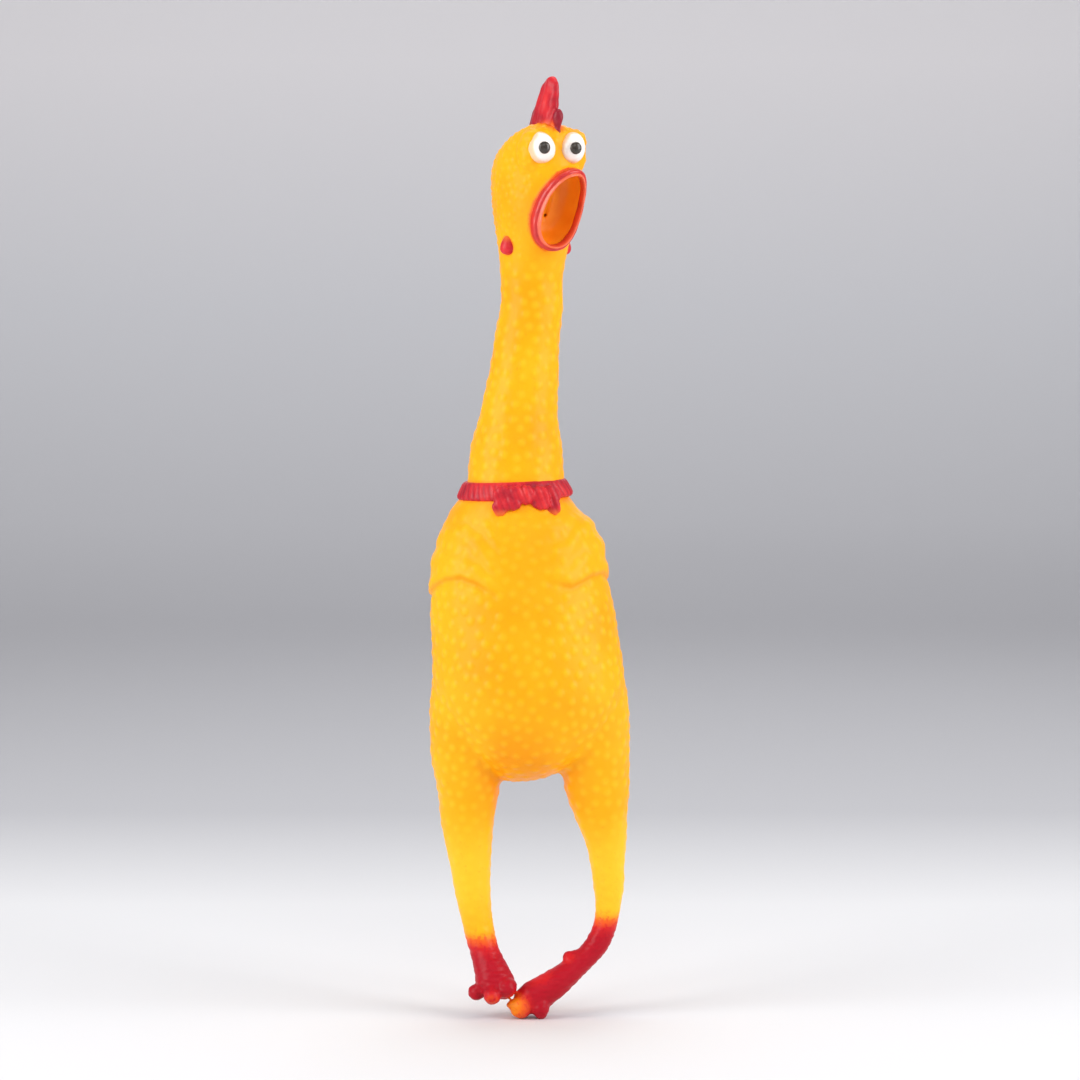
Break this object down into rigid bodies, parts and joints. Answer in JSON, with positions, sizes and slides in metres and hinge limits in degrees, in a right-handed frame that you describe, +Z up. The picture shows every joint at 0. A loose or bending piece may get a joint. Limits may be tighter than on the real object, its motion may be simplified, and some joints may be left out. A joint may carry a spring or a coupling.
{
  "type": "rubber chicken",
  "caption": "Hollow soft vinyl rubber chicken with a gaping mouth, long bendy neck, squeezable belly and dangling legs; it screams through a reed in its throat.",
  "frame": {"origin": "middle of the neck, where a hand holds the chicken up", "axes": "+Z up along the hanging body, towards the comb; the chicken faces -Y; its left side is +X"},
  "size_m": [0.0862, 0.0761, 0.3996],
  "materials": {
    "yellow_vinyl": "satin moulded soft vinyl with small raised nodules",
    "red_painted_vinyl": "satin red sprayed paint on soft vinyl",
    "orange_vinyl": "satin orange soft vinyl",
    "white_eye": "glossy white",
    "black_pupil": "glossy black",
    "ivory_plastic": "moulded polystyrene",
    "reed_film": "thin polyester film"
  },
  "bodies": {
    "neck": {"neck_skin": "yellow_vinyl"},
    "upper_neck": {"upper_neck_skin": "yellow_vinyl"},
    "head": {"head_shell": "yellow_vinyl", "head_nod_zone": "yellow_vinyl", "mouth_rim": "red_painted_vinyl", "mouth_lining": "orange_vinyl", "comb": "red_painted_vinyl", "right_eye": "white_eye", "left_eye": "white_eye", "right_pupil": "black_pupil", "left_pupil": "black_pupil", "right_wattle": "red_painted_vinyl", "left_wattle": "red_painted_vinyl", "squeaker_barrel": "ivory_plastic", "squeaker_grille": "ivory_plastic", "reed_block": "ivory_plastic", "reed_wedge": "ivory_plastic"},
    "reed": {"reed": "reed_film"},
    "lower_neck": {"lower_neck_skin": "yellow_vinyl", "neck_sway_zone": "yellow_vinyl"},
    "torso": {"torso_shell": "yellow_vinyl", "neck_bend_zone": "yellow_vinyl", "collar": "red_painted_vinyl", "collar_bow": "red_painted_vinyl", "right_wing": "yellow_vinyl", "left_wing": "yellow_vinyl", "tail": "yellow_vinyl"},
    "belly": {"belly_panel": "yellow_vinyl"},
    "right_thigh": {"right_thigh": "yellow_vinyl", "right_hip_zone": "yellow_vinyl"},
    "right_shin": {"right_shin": "yellow_vinyl", "right_knee_zone": "yellow_vinyl"},
    "right_foot": {"right_foot": "red_painted_vinyl", "right_ankle_zone": "yellow_vinyl"},
    "left_thigh": {"left_thigh": "yellow_vinyl", "left_hip_zone": "yellow_vinyl"},
    "left_shin": {"left_shin": "yellow_vinyl", "left_knee_zone": "yellow_vinyl"},
    "left_foot": {"left_foot": "red_painted_vinyl", "left_ankle_zone": "yellow_vinyl"}
  },
  "joints": [
    {"name": "neck_twist", "type": "hinge", "parent": "neck", "child": "upper_neck", "pos_m": [0.001, 0, 0.01215], "axis": [0, 0, 1], "range_deg": [-90, 30], "stiffness_Nm_per_rad": 0.08},
    {"name": "head_nod", "type": "hinge", "parent": "upper_neck", "child": "head", "pos_m": [0.0033, 0, 0.029], "axis": [0.866, 0.5, 0], "range_deg": [-30, 30], "stiffness_Nm_per_rad": 0.12, "deforming": ["head_nod_zone"]},
    {"name": "reed_flutter", "type": "hinge", "parent": "head", "child": "reed", "pos_m": [0.00367, -0.00048, 0.047], "axis": [-0.866, -0.5, 0], "range_deg": [0, 8], "stiffness_Nm_per_rad": 0.0002},
    {"name": "neck_sway", "type": "hinge", "parent": "neck", "child": "lower_neck", "pos_m": [-0.0024, 0, -0.021], "axis": [0, 1, 0], "range_deg": [-30, 30], "stiffness_Nm_per_rad": 0.5, "deforming": ["neck_sway_zone"]},
    {"name": "neck_bend", "type": "hinge", "parent": "lower_neck", "child": "torso", "pos_m": [-0.0034, 0, -0.042], "axis": [1, 0, 0], "range_deg": [-30, 30], "stiffness_Nm_per_rad": 0.6, "deforming": ["neck_bend_zone"]},
    {"name": "belly_squeeze", "type": "slide", "parent": "torso", "child": "belly", "axis": [0, 1, 0], "range_m": [0, 0.014], "stiffness_N_per_m": 600},
    {"name": "right_hip_swing", "type": "hinge", "parent": "torso", "child": "right_thigh", "pos_m": [-0.0237, 0, -0.182], "axis": [1, 0, 0], "range_deg": [-45, 35], "stiffness_Nm_per_rad": 0.05, "deforming": ["right_hip_zone"]},
    {"name": "left_hip_swing", "type": "hinge", "parent": "torso", "child": "left_thigh", "pos_m": [0.0319, 0, -0.182], "axis": [1, 0, 0], "range_deg": [-45, 35], "stiffness_Nm_per_rad": 0.05, "deforming": ["left_hip_zone"]},
    {"name": "right_knee_bend", "type": "hinge", "parent": "right_thigh", "child": "right_shin", "pos_m": [-0.023, 0, -0.209], "axis": [0, 1, 0], "range_deg": [0, 35], "stiffness_Nm_per_rad": 0.08, "deforming": ["right_knee_zone"]},
    {"name": "left_knee_bend", "type": "hinge", "parent": "left_thigh", "child": "left_shin", "pos_m": [0.0355, 0, -0.209], "axis": [0, -1, 0], "range_deg": [0, 35], "stiffness_Nm_per_rad": 0.08, "deforming": ["left_knee_zone"]},
    {"name": "right_ankle_bend", "type": "hinge", "parent": "right_shin", "child": "right_foot", "pos_m": [-0.0204, 0, -0.2325], "axis": [0, 1, 0], "range_deg": [0, 60], "stiffness_Nm_per_rad": 0.04, "deforming": ["right_ankle_zone"]},
    {"name": "left_ankle_bend", "type": "hinge", "parent": "left_shin", "child": "left_foot", "pos_m": [0.0353, 0, -0.2325], "axis": [0, -1, 0], "range_deg": [0, 60], "stiffness_Nm_per_rad": 0.04, "deforming": ["left_ankle_zone"]}
  ]
}
